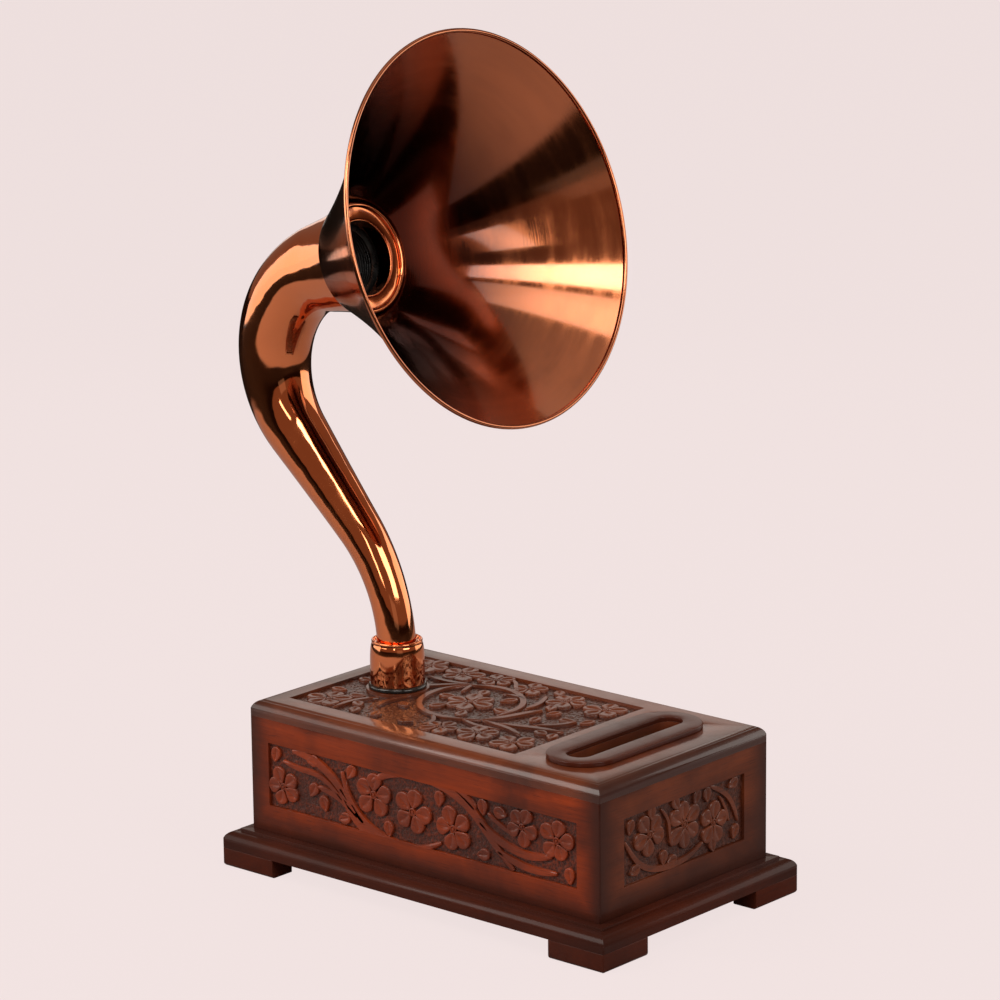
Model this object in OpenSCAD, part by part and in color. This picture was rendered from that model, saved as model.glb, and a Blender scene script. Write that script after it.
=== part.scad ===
// Acoustic horn loudspeaker: a carved wooden sound box with a slot for a phone,
// a curved copper neck that lifts out of it, and a spun copper bell that screws on.
// +X is to the right, -Y is the front, where the slot is and the bell faces, +Z is up.
// The origin is on the surface that the feet stand on, under the middle of the whole object.

/* [Sound box] */
// Width of the box, left to right
case_w = 160; // [150:1:180]
// Length of the box, front to back
case_l = 285; // [275:1:310]
// Height of the top face above the surface
case_top = 108.6; // [100:0.2:120]
// Thickness of the side and end panels
panel_t = 12; // [11:0.5:15]
// Thickness of the top board
top_t = 10; // [9.5:0.5:12]
// Rounding of the top edges
arris_r = 7.25; // [5:0.25:9]
// Rounding of the upright corners
corner_r = 1; // [0.5:0.25:4]
// Thickness of the base board
base_t = 8; // [6:0.5:10]
// Depth of the sunk fields for the carving
carve_depth = 2.4; // [1.5:0.1:4]

/* [Plinth and feet] */
// How far the plinth stands out from the box on every side
plinth_out = 13.7; // [10:0.1:18]
// Height of the plinth moulding
plinth_h = 12.2; // [10:0.1:16]
// Radius of the moulding's rounded top edge
plinth_round = 6.5; // [4:0.1:7.5]
// Height of the feet
foot_h = 12.1; // [8:0.1:16]
// Rounding of the feet's lower edges
foot_round = 2.5; // [1:0.5:5]
// Length of each foot along the short side
foot_x = 41.5; // [34:0.5:50]
// Length of each foot along the long side
foot_y = 43; // [34:0.5:50]
// Thickness of the bracket feet
foot_t = 18; // [14:0.5:24]

/* [Phone slot] */
// Length of the raised slot plate
plate_l = 123; // [118:0.5:130]
// Width of the slot plate
plate_w = 46; // [40:0.5:52]
// Thickness of the slot plate
plate_t = 3; // [2:0.1:4]
// Distance of the slot plate's middle in front of the middle of the box
plate_y = 96; // [90:0.5:100]
// Length of the slot
slot_l = 101; // [90:0.5:104]
// Width of the slot
slot_w = 17; // [14:0.5:20]

/* [Neck] */
// Distance of the neck's foot behind the middle of the box
neck_y = 90; // [84:0.5:96]
// Radius of the tube at its foot
foot_r = 12.3; // [11.5:0.1:13]
// Radius of the tube after the upper bend
bend_r = 26.5; // [24:0.1:28]
// Radius of the lower bend's centreline
low_bend = 114; // [105:1:120]
// Angle of the straight run, from upright
lean = 43.5; // [40:0.5:46]
// Radius of the upper bend's centreline
high_bend = 67; // [62:1:70]
// Wall of the tube
neck_wall = 1; // [0.8:0.1:1.4]

/* [Bell] */
// Radius of the bell's mouth
mouth_r = 121.1; // [100:0.1:130]
// Radius of the bell's small end
throat_r = 36.2; // [35.8:0.1:38]
// Depth of the bell along its axis
bell_h = 110.9; // [95:0.1:120]
// Slope of the flare at the small end, in radius per depth
flare = 0.6; // [0.5:0.02:0.7]
// Wall of the bell
bell_wall = 1; // [0.8:0.1:1.4]
// Radius of the wire rolled into the rim
wire_r = 1.4; // [1:0.1:2]
// Angle that the bell looks up
bell_tilt = 16.3; // [10:0.1:22]
// Distance of the bell's small end behind the middle of the box
throat_y = 115.2; // [110:0.2:120]
// Height of the bell's small end above the surface
throat_z = 380.4; // [375:0.2:386]

/* [Hidden] */
$fn = 96;
eps = 0.01;

wood_red = [0.36, 0.13, 0.06];
wood_dark = [0.16, 0.06, 0.04];
wood_plain = [0.55, 0.38, 0.22];
copper = [0.78, 0.38, 0.22];
black = [0.05, 0.05, 0.05];
steel = [0.6, 0.6, 0.62];

// heights of the box
plinth_top = foot_h + plinth_h;
panel_top = case_top - top_t;
reach = 30;                       // how far a mitre wedge reaches in from the corner

// sunk fields: where each starts and ends
side_field_y = [-124.5, 127.5];   // along the long sides
side_field_z = [42, 83.2];
end_field_w = 115;                // across the short ends
end_field_z = [41, 83.6];
top_field_x = 61.5;
top_field_y = [-61, 126];
boss_r = 20;                      // plain boss under the rubber ring

// base board and its fixings
block_s = 16;                     // side of the glue blocks in the corners
screw_r = 2;
screw_head_r = 4;
screw_l = 24;

// phone rest under the slot
rest_l = 124;
rest_w = 32;
rest_t = 6;
rest_hole_l = 62;
rest_hole_w = 8;

// rubber ring, collar and the socket in the top board
ring_r = 18.6;
ring_h = 3;
collar_r = 17.3;
collar_h = 28.5;
collar_lip_r = 15.6;
collar_z = case_top + ring_h;
spigot_l = 36;                    // below the underside of the collar
fit = 0.06;                       // radial clearance of the sliding and turning fits
bush_wall = 2.2;
bush_flange_r = 26;
bush_flange_t = 2.5;
bush_screw_pcd = 40;
bush_screw_r = 1.4;
bush_screw_l = 9;

// neck, worked out from the bends
neck_z = collar_z + 18;           // where the lower bend starts, inside the collar
swing = -(90 - bell_tilt);        // direction of the neck's end, from upright
end_r = throat_r - 1.5;
taper_from = 17;
taper_to = 303;
flare_l = 63;
rings = 54;                       // stations along the tube
sides = 36;                       // corners around it
p1 = [neck_y + low_bend * (1 - cos(lean)), neck_z + low_bend * sin(lean)];
turn = [-high_bend * (cos(lean) - cos(swing)), high_bend * (sin(lean) - sin(swing))];
gap = [throat_y, throat_z] - p1 - turn;
det = sin(lean) * cos(swing) - sin(swing) * cos(lean);
run_1 = (gap[0] * cos(swing) - gap[1] * sin(swing)) / det;
run_2 = (gap[1] * sin(lean) - gap[0] * cos(lean)) / det;
p2 = p1 + run_1 * [sin(lean), cos(lean)];
p3 = p2 + turn;
arc_1 = low_bend * lean * PI / 180;
arc_2 = high_bend * (lean - swing) * PI / 180;
neck_l = arc_1 + run_1 + arc_2 + run_2;
neck_stop = neck_l - 0.6;         // the tube ends just short of the bell's seat

function deg(a) = a * 180 / PI;
function ease(u) = u <= 0 ? 0 : u >= 1 ? 1 : u * u * (3 - 2 * u);
// direction of the centreline at the distance s, as an angle from upright
function heading(s) =
    s < arc_1 ? deg(s / low_bend) :
    s < arc_1 + run_1 ? lean :
    s < arc_1 + run_1 + arc_2 ? lean - deg((s - arc_1 - run_1) / high_bend) : swing;
// point [y, z] of the centreline at the distance s
function centre(s) =
    s < arc_1 ?
        [neck_y + low_bend * (1 - cos(heading(s))), neck_z + low_bend * sin(heading(s))] :
    s < arc_1 + run_1 ?
        p1 + (s - arc_1) * [sin(lean), cos(lean)] :
    s < arc_1 + run_1 + arc_2 ?
        p2 + high_bend * [cos(heading(s)) - cos(lean), sin(lean) - sin(heading(s))] :
        p3 + (s - arc_1 - run_1 - arc_2) * [sin(swing), cos(swing)];
// outer radius of the tube at the distance s
function tube_r(s) =
    foot_r + (bend_r - foot_r) * ease((s - taper_from) / (taper_to - taper_from))
    + (end_r - bend_r) * pow(max(0, 1 - (neck_l - s) / flare_l), 2);

// bell, worked out along its own axis
bell_curve = (mouth_r - throat_r - flare * bell_h) / (bell_h * bell_h);
bell_steps = 24;
rim_rise = 0.8 * wire_r;          // middle of the rolled rim in front of the bell's edge
function bell_r(s) = throat_r + flare * s + bell_curve * s * s;
function bell_in(s) = bell_r(s) - 1.3 * bell_wall;   // the slanting wall takes more of the radius
curl_r = 1.6;                     // curled lip of the throat ring
lip_seat = 0.4;                   // where the throat ring's plate starts
plate_thick = 1;
stem_r = 24.4;
stem_l = 8;
coupling_r = 27;
coupling_l = 24;
coupling_z = -3.6;                // face of the coupling, behind the bell's small end
thread_r = 20.6;
thread_pitch = 2;
washer_t = 0.8;

// the whole object is centred front to back between the plinth and the upper bend
neck_back = max([for (i = [0:rings]) let (s = neck_stop * i / rings)
    centre(s)[0] + tube_r(s) * cos(heading(s))]);
shift_y = (case_l / 2 + plinth_out - neck_back) / 2;

module placed() translate([0, shift_y, 0]) children();

module rounded_rect(w, l, r) {
    square([w - 2 * r, l], center = true);
    square([w, l - 2 * r], center = true);
    for (x = [-1, 1], y = [-1, 1])
        translate([x * (w / 2 - r), y * (l / 2 - r)]) circle(r);
}

module stadium(l, w) {
    square([l - w, w], center = true);
    for (x = [-1, 1]) translate([x * (l - w) / 2, 0]) circle(w / 2);
}

// quarter of a rectangular frame cut off along its two mitres; side is 0 right, 1 back, 2 left, 3 front
module mitre_wedge(w, l, side) {
    along = side % 2 == 0 ? l : w;
    across = side % 2 == 0 ? w : l;
    rotate(side * 90)
        polygon([[across / 2 + 5, along / 2 + 5], [across / 2 + 5, -along / 2 - 5],
                 [across / 2 - reach, -along / 2 + reach], [across / 2 - reach, along / 2 - reach]]);
}

// sound box

module panel(side)
    translate([0, 0, plinth_top]) linear_extrude(panel_top - plinth_top) intersection() {
        difference() {
            rounded_rect(case_w, case_l, corner_r);
            square([case_w - 2 * panel_t, case_l - 2 * panel_t], center = true);
        }
        mitre_wedge(case_w, case_l, side);
    }

module side_field(x)
    translate([x, 0, 0])
        translate([-carve_depth, side_field_y[0], side_field_z[0]])
            cube([2 * carve_depth, side_field_y[1] - side_field_y[0], side_field_z[1] - side_field_z[0]]);

module end_field(y)
    translate([-end_field_w / 2, y - carve_depth, end_field_z[0]])
        cube([end_field_w, 2 * carve_depth, end_field_z[1] - end_field_z[0]]);

module side_panel_left() color(wood_red) placed() difference() {
    panel(2);
    side_field(-case_w / 2);
}

module side_panel_right() color(wood_red) placed() difference() {
    panel(0);
    side_field(case_w / 2);
}

module end_panel_front() color(wood_red) placed() difference() {
    panel(3);
    end_field(-case_l / 2);
}

module end_panel_back() color(wood_red) placed() difference() {
    panel(1);
    end_field(case_l / 2);
}

// upright outline of a slab, with its two upper corners rounded
module slab_outline(w, h, r) intersection() {
    union() {
        translate([r - w / 2, 0]) square([w - 2 * r, h]);
        translate([-w / 2, 0]) square([w, h - r]);
        for (x = [-1, 1]) translate([x * (w / 2 - r), h - r]) circle(r);
    }
    translate([-w / 2, 0]) square([w, h]);
}

// slab whose top edges are rounded over and meet in a mitre at the corners
module rounded_slab(w, l, h, r) intersection() {
    linear_extrude(h) rounded_rect(w, l, corner_r);
    rotate([90, 0, 0]) linear_extrude(l + 2, center = true) slab_outline(w, h, r);
    rotate([90, 0, 90]) linear_extrude(w + 2, center = true) slab_outline(l, h, r);
}

module top_board() color(wood_red) placed() difference() {
    translate([0, 0, panel_top]) rounded_slab(case_w, case_l, top_t, arris_r);
    difference() {
        translate([-top_field_x, top_field_y[0], case_top - carve_depth])
            cube([2 * top_field_x, top_field_y[1] - top_field_y[0], 2 * carve_depth]);
        translate([0, neck_y, panel_top]) cylinder(r = boss_r, h = 2 * top_t);
    }
    translate([0, neck_y, panel_top - 1]) cylinder(r = foot_r + fit + bush_wall, h = top_t + 2);
    translate([0, -plate_y, panel_top - 1]) linear_extrude(top_t + 2) stadium(slot_l, slot_w);
    bush_screw_places() cylinder(r = bush_screw_r, h = bush_screw_l - bush_flange_t);
}

// plinth and feet

plinth_w = case_w + 2 * plinth_out;
plinth_l = case_l + 2 * plinth_out;
plinth_in = 28;                   // width of a rail, hidden under the box
step_h = 1.6;                     // small step between the rounded nose and the box
ledge = plinth_out - plinth_round - step_h;

module rail_outline()
    polygon(concat(
        [[plinth_out - plinth_in, 0], [plinth_out, 0]],
        [for (a = [0:6:90]) [plinth_out - plinth_round + plinth_round * cos(a),
                             plinth_h - step_h - plinth_round + plinth_round * sin(a)]],
        [[ledge, plinth_h - step_h], [ledge, plinth_h], [plinth_out - plinth_in, plinth_h]]));

module plinth_rail(side) {
    across = side % 2 == 0 ? case_w : case_l;
    along = side % 2 == 0 ? plinth_l : plinth_w;
    translate([0, 0, foot_h]) intersection() {
        rotate(side * 90) translate([across / 2, along / 2, 0]) rotate([90, 0, 0])
            linear_extrude(along) rail_outline();
        linear_extrude(plinth_h) intersection() {
            rounded_rect(plinth_w, plinth_l, corner_r);
            mitre_wedge(plinth_w, plinth_l, side);
        }
    }
}

module plinth_rail_right() color(wood_dark) placed() plinth_rail(0);
module plinth_rail_back() color(wood_dark) placed() plinth_rail(1);
module plinth_rail_left() color(wood_dark) placed() plinth_rail(2);
module plinth_rail_front() color(wood_dark) placed() plinth_rail(3);

// L-shaped bracket foot at the corner [sx, sy], its lower edges rounded
module foot(sx, sy) intersection() {
    translate([0, 0, foot_h]) mirror([0, 0, 1]) rounded_slab(plinth_w, plinth_l, foot_h, foot_round);
    translate([sx * plinth_w / 2, sy * plinth_l / 2, 0]) mirror([sx > 0 ? 1 : 0, 0, 0])
        mirror([0, sy > 0 ? 1 : 0, 0]) difference() {
            cube([foot_x, foot_y, foot_h]);
            translate([foot_t, foot_t, -1]) cube([foot_x, foot_y, foot_h + 2]);
        }
}

module foot_front_left() color(wood_dark) placed() foot(-1, -1);
module foot_front_right() color(wood_dark) placed() foot(1, -1);
module foot_back_left() color(wood_dark) placed() foot(-1, 1);
module foot_back_right() color(wood_dark) placed() foot(1, 1);

// inside the box

inner_w = case_w - 2 * panel_t;
inner_l = case_l - 2 * panel_t;
base_z = plinth_top;

module corner_places()
    for (x = [-1, 1], y = [-1, 1])
        translate([x * (inner_w - block_s) / 2, y * (inner_l - block_s) / 2, 0]) children();

module base_board() color(wood_plain) placed() difference() {
    translate([-inner_w / 2, -inner_l / 2, base_z]) cube([inner_w, inner_l, base_t]);
    corner_places() {
        translate([0, 0, base_z - 1]) cylinder(r = screw_r, h = base_t + 2);
        translate([0, 0, base_z - eps])
            cylinder(r1 = screw_head_r + 2 * eps, r2 = screw_r, h = screw_head_r - screw_r + 2 * eps);
    }
}

module corner_blocks() color(wood_plain) placed() corner_places() difference() {
    translate([-block_s / 2, -block_s / 2, base_z + base_t])
        cube([block_s, block_s, panel_top - base_z - base_t]);
    translate([0, 0, base_z + base_t - 1]) cylinder(r = screw_r, h = screw_l - base_t + 1);
}

module base_screws() color(steel) placed() corner_places() difference() {
    union() {
        translate([0, 0, base_z]) cylinder(r = screw_r, h = screw_l);
        translate([0, 0, base_z]) cylinder(r1 = screw_head_r, r2 = screw_r, h = screw_head_r - screw_r);
    }
    for (a = [0, 90]) rotate(a)
        translate([0, 0, base_z]) cube([screw_head_r, 0.8, 1.6], center = true);
}

module phone_rest() color(wood_plain) placed()
    translate([0, -plate_y, panel_top - rest_t]) linear_extrude(rest_t) difference() {
        square([rest_l, rest_w], center = true);
        stadium(rest_hole_l, rest_hole_w);
    }

module slot_plate() color(wood_dark) placed() translate([0, -plate_y, case_top])
    linear_extrude(plate_t) difference() {
        stadium(plate_l, plate_w);
        stadium(slot_l, slot_w);
    }

// socket in the top board and the horn's foot

module bush_screw_places()
    for (a = [30:120:270]) translate([0, neck_y, panel_top]) rotate(a)
        translate([bush_screw_pcd / 2, 0, 0]) children();

module socket_bush() color(steel) placed() difference() {
    union() {
        translate([0, neck_y, panel_top - bush_flange_t]) cylinder(r = bush_flange_r, h = bush_flange_t);
        translate([0, neck_y, case_top - spigot_l])
            cylinder(r = foot_r + fit + bush_wall, h = spigot_l - 0.3);
    }
    translate([0, neck_y, 0]) cylinder(r = foot_r + fit, h = case_top + 10);
    bush_screw_places() translate([0, 0, -bush_flange_t - 1])
        cylinder(r = bush_screw_r, h = bush_flange_t + 2);
}

module bush_screws() color(steel) placed() bush_screw_places()
    translate([0, 0, -bush_flange_t]) {
        cylinder(r = bush_screw_r, h = bush_screw_l);
        translate([0, 0, -1.4]) difference() {
            cylinder(r = 2.6, h = 1.4);
            for (a = [0, 90]) rotate(a) cube([3.6, 0.7, 1.4], center = true);
        }
    }

module rubber_ring() color(black) placed() translate([0, neck_y, case_top]) rotate_extrude() {
    translate([foot_r + fit, 0]) square([ring_r - foot_r - fit - ring_h / 2, ring_h]);
    translate([ring_r - ring_h / 2, ring_h / 2]) circle(ring_h / 2, $fn = 48);
}

// turned ferrule around the neck's foot, drawn in to a lip at the top
module collar() color(copper) placed() translate([0, neck_y, collar_z])
    rotate_extrude() polygon(concat(
        [[foot_r, 0], [collar_r, 0], [collar_r, collar_h * 0.55]],
        [for (a = [10:10:70]) [collar_lip_r + (collar_r - collar_lip_r) * cos(a),
                               collar_h * 0.55 + collar_h * 0.39 * sin(a)]],
        [[collar_lip_r, collar_h - 1.6], [collar_lip_r + 0.4, collar_h - 0.8],
         [collar_lip_r - 0.2, collar_h], [foot_r + 1, collar_h - 1.2], [foot_r, neck_z - collar_z]]));

module neck_spigot() color(copper) placed() translate([0, neck_y, case_top - spigot_l]) difference() {
    cylinder(r = foot_r, h = neck_z - case_top + spigot_l);
    translate([0, 0, -1]) cylinder(r = foot_r - neck_wall, h = neck_z - case_top + spigot_l + 2);
}

// point of the tube's skin: distance s, angle a around it, wall thickness w taken off the radius
function skin(s, a, w) = let (h = heading(s), r = tube_r(s) - w, c = centre(s))
    [r * sin(a), c[0] + r * cos(a) * cos(h), c[1] - r * cos(a) * sin(h)];

module gooseneck() color(copper) placed() {
    last = rings;
    outer = [for (i = [0:last]) for (j = [0:sides - 1])
        skin(neck_stop * i / last, 360 * j / sides, 0)];
    inner = [for (i = [0:last]) for (j = [0:sides - 1])
        skin(neck_stop * i / last, 360 * j / sides, neck_wall)];
    n = sides * (last + 1);
    polyhedron(concat(outer, inner), concat(
        [for (i = [0:last - 1]) for (j = [0:sides - 1]) let (k = (j + 1) % sides)
            [i * sides + j, i * sides + k, (i + 1) * sides + k, (i + 1) * sides + j]],
        [for (i = [0:last - 1]) for (j = [0:sides - 1]) let (k = (j + 1) % sides)
            [n + i * sides + k, n + i * sides + j, n + (i + 1) * sides + j, n + (i + 1) * sides + k]],
        [for (j = [0:sides - 1]) let (k = (j + 1) % sides) [j, n + j, n + k, k]],
        [for (j = [0:sides - 1]) let (k = (j + 1) % sides)
            [last * sides + k, n + last * sides + k, n + last * sides + j, last * sides + j]]));
}

// bell and what joins it to the neck, drawn along the bell's axis and laid over at its angle
module on_bell_axis() placed() translate([0, throat_y, throat_z]) rotate([90 - bell_tilt, 0, 0]) children();

module neck_end_plate() color(copper) on_bell_axis() difference() {
    translate([0, 0, coupling_z - plate_thick])
        cylinder(r = tube_r(neck_l + coupling_z - plate_thick) - neck_wall - 0.2, h = plate_thick);
    translate([0, 0, coupling_z - 2]) cylinder(r = coupling_r, h = 4);
}

module threaded_coupling() color(black) on_bell_axis() rotate_extrude() polygon(concat(
    [[coupling_r, coupling_z - coupling_l], [coupling_r, coupling_z],
     [stem_r + fit, coupling_z], [stem_r + fit, -stem_l - 2.5]],
    [for (z = [-stem_l - 2.5:-thread_pitch:coupling_z - coupling_l + 2]) each
        [[thread_r, z - 0.3], [thread_r, z - 0.9], [thread_r + 1.2, z - 1.2], [thread_r + 1.2, z - 1.8]]],
    [[thread_r + 1.2, coupling_z - coupling_l]]));

module bell_washer() color(black) on_bell_axis() difference() {
    translate([0, 0, lip_seat - washer_t - 0.2]) cylinder(r = end_r - 0.8, h = washer_t);
    translate([0, 0, -3]) cylinder(r = stem_r + fit, h = 6);
}

// plate with a curled lip, soldered into the bell's small end, and its stem that screws into the coupling
module throat_ring() color(copper) on_bell_axis() rotate_extrude() {
    translate([stem_r - 1, lip_seat]) square([bell_in(lip_seat) - stem_r + 1, plate_thick]);
    translate([stem_r - 1, lip_seat - stem_l]) square([1, stem_l + plate_thick + 1]);
    translate([bell_in(lip_seat) - curl_r, lip_seat + plate_thick + curl_r * 0.6])
        circle(curl_r, $fn = 32);
}

module bell() color(copper) on_bell_axis() rotate_extrude($fn = 180) polygon(concat(
    [for (i = [0:bell_steps]) let (s = bell_h * i / bell_steps) [bell_r(s), s]],
    [for (i = [bell_steps:-1:0]) let (s = bell_h * i / bell_steps) [bell_in(s), s]]));

// rolled rim, flat where it sits on the bell's edge
module rim_wire() color(copper) on_bell_axis() translate([0, 0, bell_h])
    rotate_extrude($fn = 180) translate([mouth_r, 0]) intersection() {
        translate([0, rim_rise]) circle(wire_r, $fn = 24);
        translate([-2 * wire_r, 0]) square(4 * wire_r);
    }

top_board();
side_panel_left();
side_panel_right();
end_panel_front();
end_panel_back();
plinth_rail_front();
plinth_rail_back();
plinth_rail_left();
plinth_rail_right();
foot_front_left();
foot_front_right();
foot_back_left();
foot_back_right();
base_board();
corner_blocks();
base_screws();
slot_plate();
phone_rest();
socket_bush();
bush_screws();
rubber_ring();
collar();
neck_spigot();
gooseneck();
neck_end_plate();
threaded_coupling();
bell_washer();
throat_ring();
bell();
rim_wire();
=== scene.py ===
"""Horn loudspeaker: carved sound box, copper neck and spun bell, finished around the CAD frame."""

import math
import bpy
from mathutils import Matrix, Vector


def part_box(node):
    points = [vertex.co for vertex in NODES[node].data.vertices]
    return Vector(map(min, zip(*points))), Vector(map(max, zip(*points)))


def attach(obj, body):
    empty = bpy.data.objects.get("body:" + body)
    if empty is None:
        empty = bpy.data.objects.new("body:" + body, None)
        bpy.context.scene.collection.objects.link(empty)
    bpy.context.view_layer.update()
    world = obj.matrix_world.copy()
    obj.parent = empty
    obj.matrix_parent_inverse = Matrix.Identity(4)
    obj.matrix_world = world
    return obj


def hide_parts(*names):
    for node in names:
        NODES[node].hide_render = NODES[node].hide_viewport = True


bl_info = {
    "name": "Horn loudspeaker",
    "version": (1, 0, 0),
    "blender": (4, 5, 0),
    "location": "View3D > Sidebar > Horn",
    "description": "Models and finishes a carved wooden horn loudspeaker around its CAD frame",
    "category": "Object",
}

import bpy
from bpy.props import FloatProperty, FloatVectorProperty, PointerProperty
from mathutils import Matrix, Vector

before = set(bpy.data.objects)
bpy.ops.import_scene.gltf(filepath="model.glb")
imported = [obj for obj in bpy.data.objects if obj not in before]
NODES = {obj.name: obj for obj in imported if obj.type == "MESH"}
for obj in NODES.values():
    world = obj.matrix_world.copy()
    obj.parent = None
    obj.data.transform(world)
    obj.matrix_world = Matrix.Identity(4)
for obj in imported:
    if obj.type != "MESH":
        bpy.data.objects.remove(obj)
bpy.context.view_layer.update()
MM = 0.001


# ---------------------------------------------------------------- sizes and looks

class HornSizes(bpy.types.PropertyGroup):
    """Sizes of the copper neck and the bell, as in the CAD model"""

    lean: FloatProperty(
        name="Lean", description="Angle of the neck's straight run, from upright",
        default=math.radians(43.5), subtype="ANGLE", unit="ROTATION")
    tilt: FloatProperty(
        name="Bell tilt", description="Angle that the bell looks up",
        default=math.radians(16.3), subtype="ANGLE", unit="ROTATION")
    low_bend: FloatProperty(
        name="Lower bend", description="Radius of the lower bend's centreline",
        default=114 * MM, unit="LENGTH")
    high_bend: FloatProperty(
        name="Upper bend", description="Radius of the upper bend's centreline",
        default=67 * MM, unit="LENGTH")
    foot_radius: FloatProperty(
        name="Foot radius", description="Radius of the neck at its foot",
        default=12.3 * MM, unit="LENGTH")
    bend_radius: FloatProperty(
        name="Bend radius", description="Radius of the neck after the upper bend",
        default=26.42 * MM, unit="LENGTH")
    throat_radius: FloatProperty(
        name="Throat radius", description="Radius of the bell's small end",
        default=36.2 * MM, unit="LENGTH")
    bell_depth: FloatProperty(
        name="Bell depth", description="Depth of the bell along its axis",
        default=110.9 * MM, unit="LENGTH")
    flare: FloatProperty(
        name="Flare", description="Slope of the bell's flare at its small end", default=0.6)
    wall: FloatProperty(
        name="Wall", description="Thickness of the copper sheet", default=1 * MM, unit="LENGTH")
    wire: FloatProperty(
        name="Rim wire", description="Radius of the wire rolled into the rim",
        default=1.4 * MM, unit="LENGTH")


class CarvingSizes(bpy.types.PropertyGroup):
    """Sizes of the carved fields"""

    depth: FloatProperty(
        name="Depth", description="Depth of the carved fields", default=2.4 * MM, unit="LENGTH")
    pit: FloatProperty(
        name="Stipple depth", description="Depth of the punched ground",
        default=0.7 * MM, unit="LENGTH")
    pitch: FloatProperty(
        name="Stipple pitch", description="Spacing of the punched ground",
        default=1.5 * MM, unit="LENGTH")


class WoodLook(bpy.types.PropertyGroup):
    """Colours of the lacquered wood"""

    red: FloatVectorProperty(
        name="Red wood", description="Lit colour of the side panels", subtype="COLOR",
        size=4, min=0, max=1, default=(0.26, 0.034, 0.005, 1))
    brown: FloatVectorProperty(
        name="Brown wood", description="Colour of the end panels and the top", subtype="COLOR",
        size=4, min=0, max=1, default=(0.145, 0.032, 0.010, 1))
    # Dark wood is the grain's late colour and also the painted shade on the arrises, the corners, the
    # foot of the walls and the carved ground
    dark: FloatVectorProperty(
        name="Dark wood", description="Colour of the arrises and the carved ground", subtype="COLOR",
        size=4, min=0, max=1, default=(0.030, 0.008, 0.005, 1))
    bare: FloatVectorProperty(
        name="Bare wood", description="Colour of the unfinished wood inside", subtype="COLOR",
        size=4, min=0, max=1, default=(0.36, 0.19, 0.09, 1))


class CopperLook(bpy.types.PropertyGroup):
    """Colours of the copper"""

    bright: FloatVectorProperty(
        name="Bright copper", description="Colour of the polished neck", subtype="COLOR",
        size=4, min=0, max=1, default=(0.80, 0.26, 0.10, 1))
    deep: FloatVectorProperty(
        name="Deep copper", description="Colour of the lacquered bell", subtype="COLOR",
        size=4, min=0, max=1, default=(0.50, 0.165, 0.07, 1))
    # Smoked copper colours the random dark patches on the bell and also the painted shade deep in its
    # throat
    smoke: FloatVectorProperty(
        name="Smoked copper", description="Colour of the copper near the throat", subtype="COLOR",
        size=4, min=0, max=1, default=(0.06, 0.011, 0.0035, 1))


class StageSettings(bpy.types.PropertyGroup):
    """Camera and light"""

    azimuth: FloatProperty(
        name="Azimuth", description="Direction of the view, from the front towards the left",
        default=math.radians(48.78), subtype="ANGLE", unit="ROTATION")
    elevation: FloatProperty(
        name="Elevation", description="Height of the view above the horizon",
        default=math.radians(14.13), subtype="ANGLE", unit="ROTATION")
    roll: FloatProperty(
        name="Roll", description="Turn of the camera about its own axis",
        default=math.radians(-0.65), subtype="ANGLE", unit="ROTATION")
    distance: FloatProperty(
        name="Distance", description="Distance of the camera from its target",
        default=2.6585, unit="LENGTH")
    lens: FloatProperty(
        name="Lens", description="Focal length in millimetres", default=156.5, unit="CAMERA")
    target: FloatVectorProperty(
        name="Target", description="Point that the camera looks at", subtype="XYZ", unit="LENGTH",
        default=(0, -0.0265, 0.2437))
    backdrop: FloatVectorProperty(
        name="Backdrop", description="Colour of the floor", subtype="COLOR",
        size=4, min=0, max=1, default=(0.871, 0.761, 0.753, 1))
    floor_glow: FloatProperty(
        name="Floor glow", description="Share of the floor's brightness that no shadow takes away",
        default=0.96, min=0, max=1, subtype="FACTOR")
    floor_reach: FloatProperty(
        name="Floor reach", description="Radius of the lit floor that the copper mirrors", default=0.8,
        unit="LENGTH")
    room: FloatVectorProperty(
        name="Room", description="Colour of the dark room round the stage", subtype="COLOR",
        size=4, min=0, max=1, default=(0.22, 0.125, 0.085, 1))


# ---------------------------------------------------------------- modelling steps

def settings(name):
    """One of the scene's property groups"""
    return getattr(bpy.context.scene, name)


def nothing_selected():
    if bpy.context.object and bpy.context.object.mode != "OBJECT":
        bpy.ops.object.mode_set(mode="OBJECT")
    bpy.ops.object.select_all(action="DESELECT")


def pick(*pieces):
    """Selects these pieces and makes the first one active"""
    nothing_selected()
    for piece in pieces:
        piece.select_set(True)
    bpy.context.view_layer.objects.active = pieces[0]
    return pieces[0]


def edit(kind="VERT"):
    """Enters edit mode with everything selected"""
    bpy.ops.object.mode_set(mode="EDIT")
    bpy.ops.mesh.select_mode(type=kind)
    bpy.ops.mesh.select_all(action="SELECT")


def christen(name):
    """Names the piece that was added last"""
    piece = bpy.context.active_object
    piece.name = name
    piece.data.name = name
    return piece


def settle(piece, place=Matrix()):
    """Moves a piece to its place and leaves its object at the origin"""
    pick(piece)
    piece.matrix_world = place @ piece.matrix_world
    bpy.ops.object.transform_apply(location=True, rotation=True, scale=True)
    return piece


def copy_of(piece, name):
    """A copy with its own mesh"""
    twin = piece.copy()
    twin.data = piece.data.copy()
    twin.name = twin.data.name = name
    bpy.context.scene.collection.objects.link(twin)
    return twin


def joined(pieces, name):
    """Joins pieces into one"""
    pick(*pieces)
    if len(pieces) > 1:
        bpy.ops.object.join()
    return christen(name)


def smooth(piece, angle=35):
    pick(piece)
    bpy.ops.object.shade_smooth_by_angle(angle=math.radians(angle))
    return piece


def finish_modifier(piece, kind, **values):
    """Adds a modifier with these values and applies it"""
    pick(piece)
    modifier = piece.modifiers.new(kind.title(), kind)
    for name, value in values.items():
        setattr(modifier, name, value)
    bpy.ops.object.modifier_apply(modifier=modifier.name)
    return piece


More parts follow.
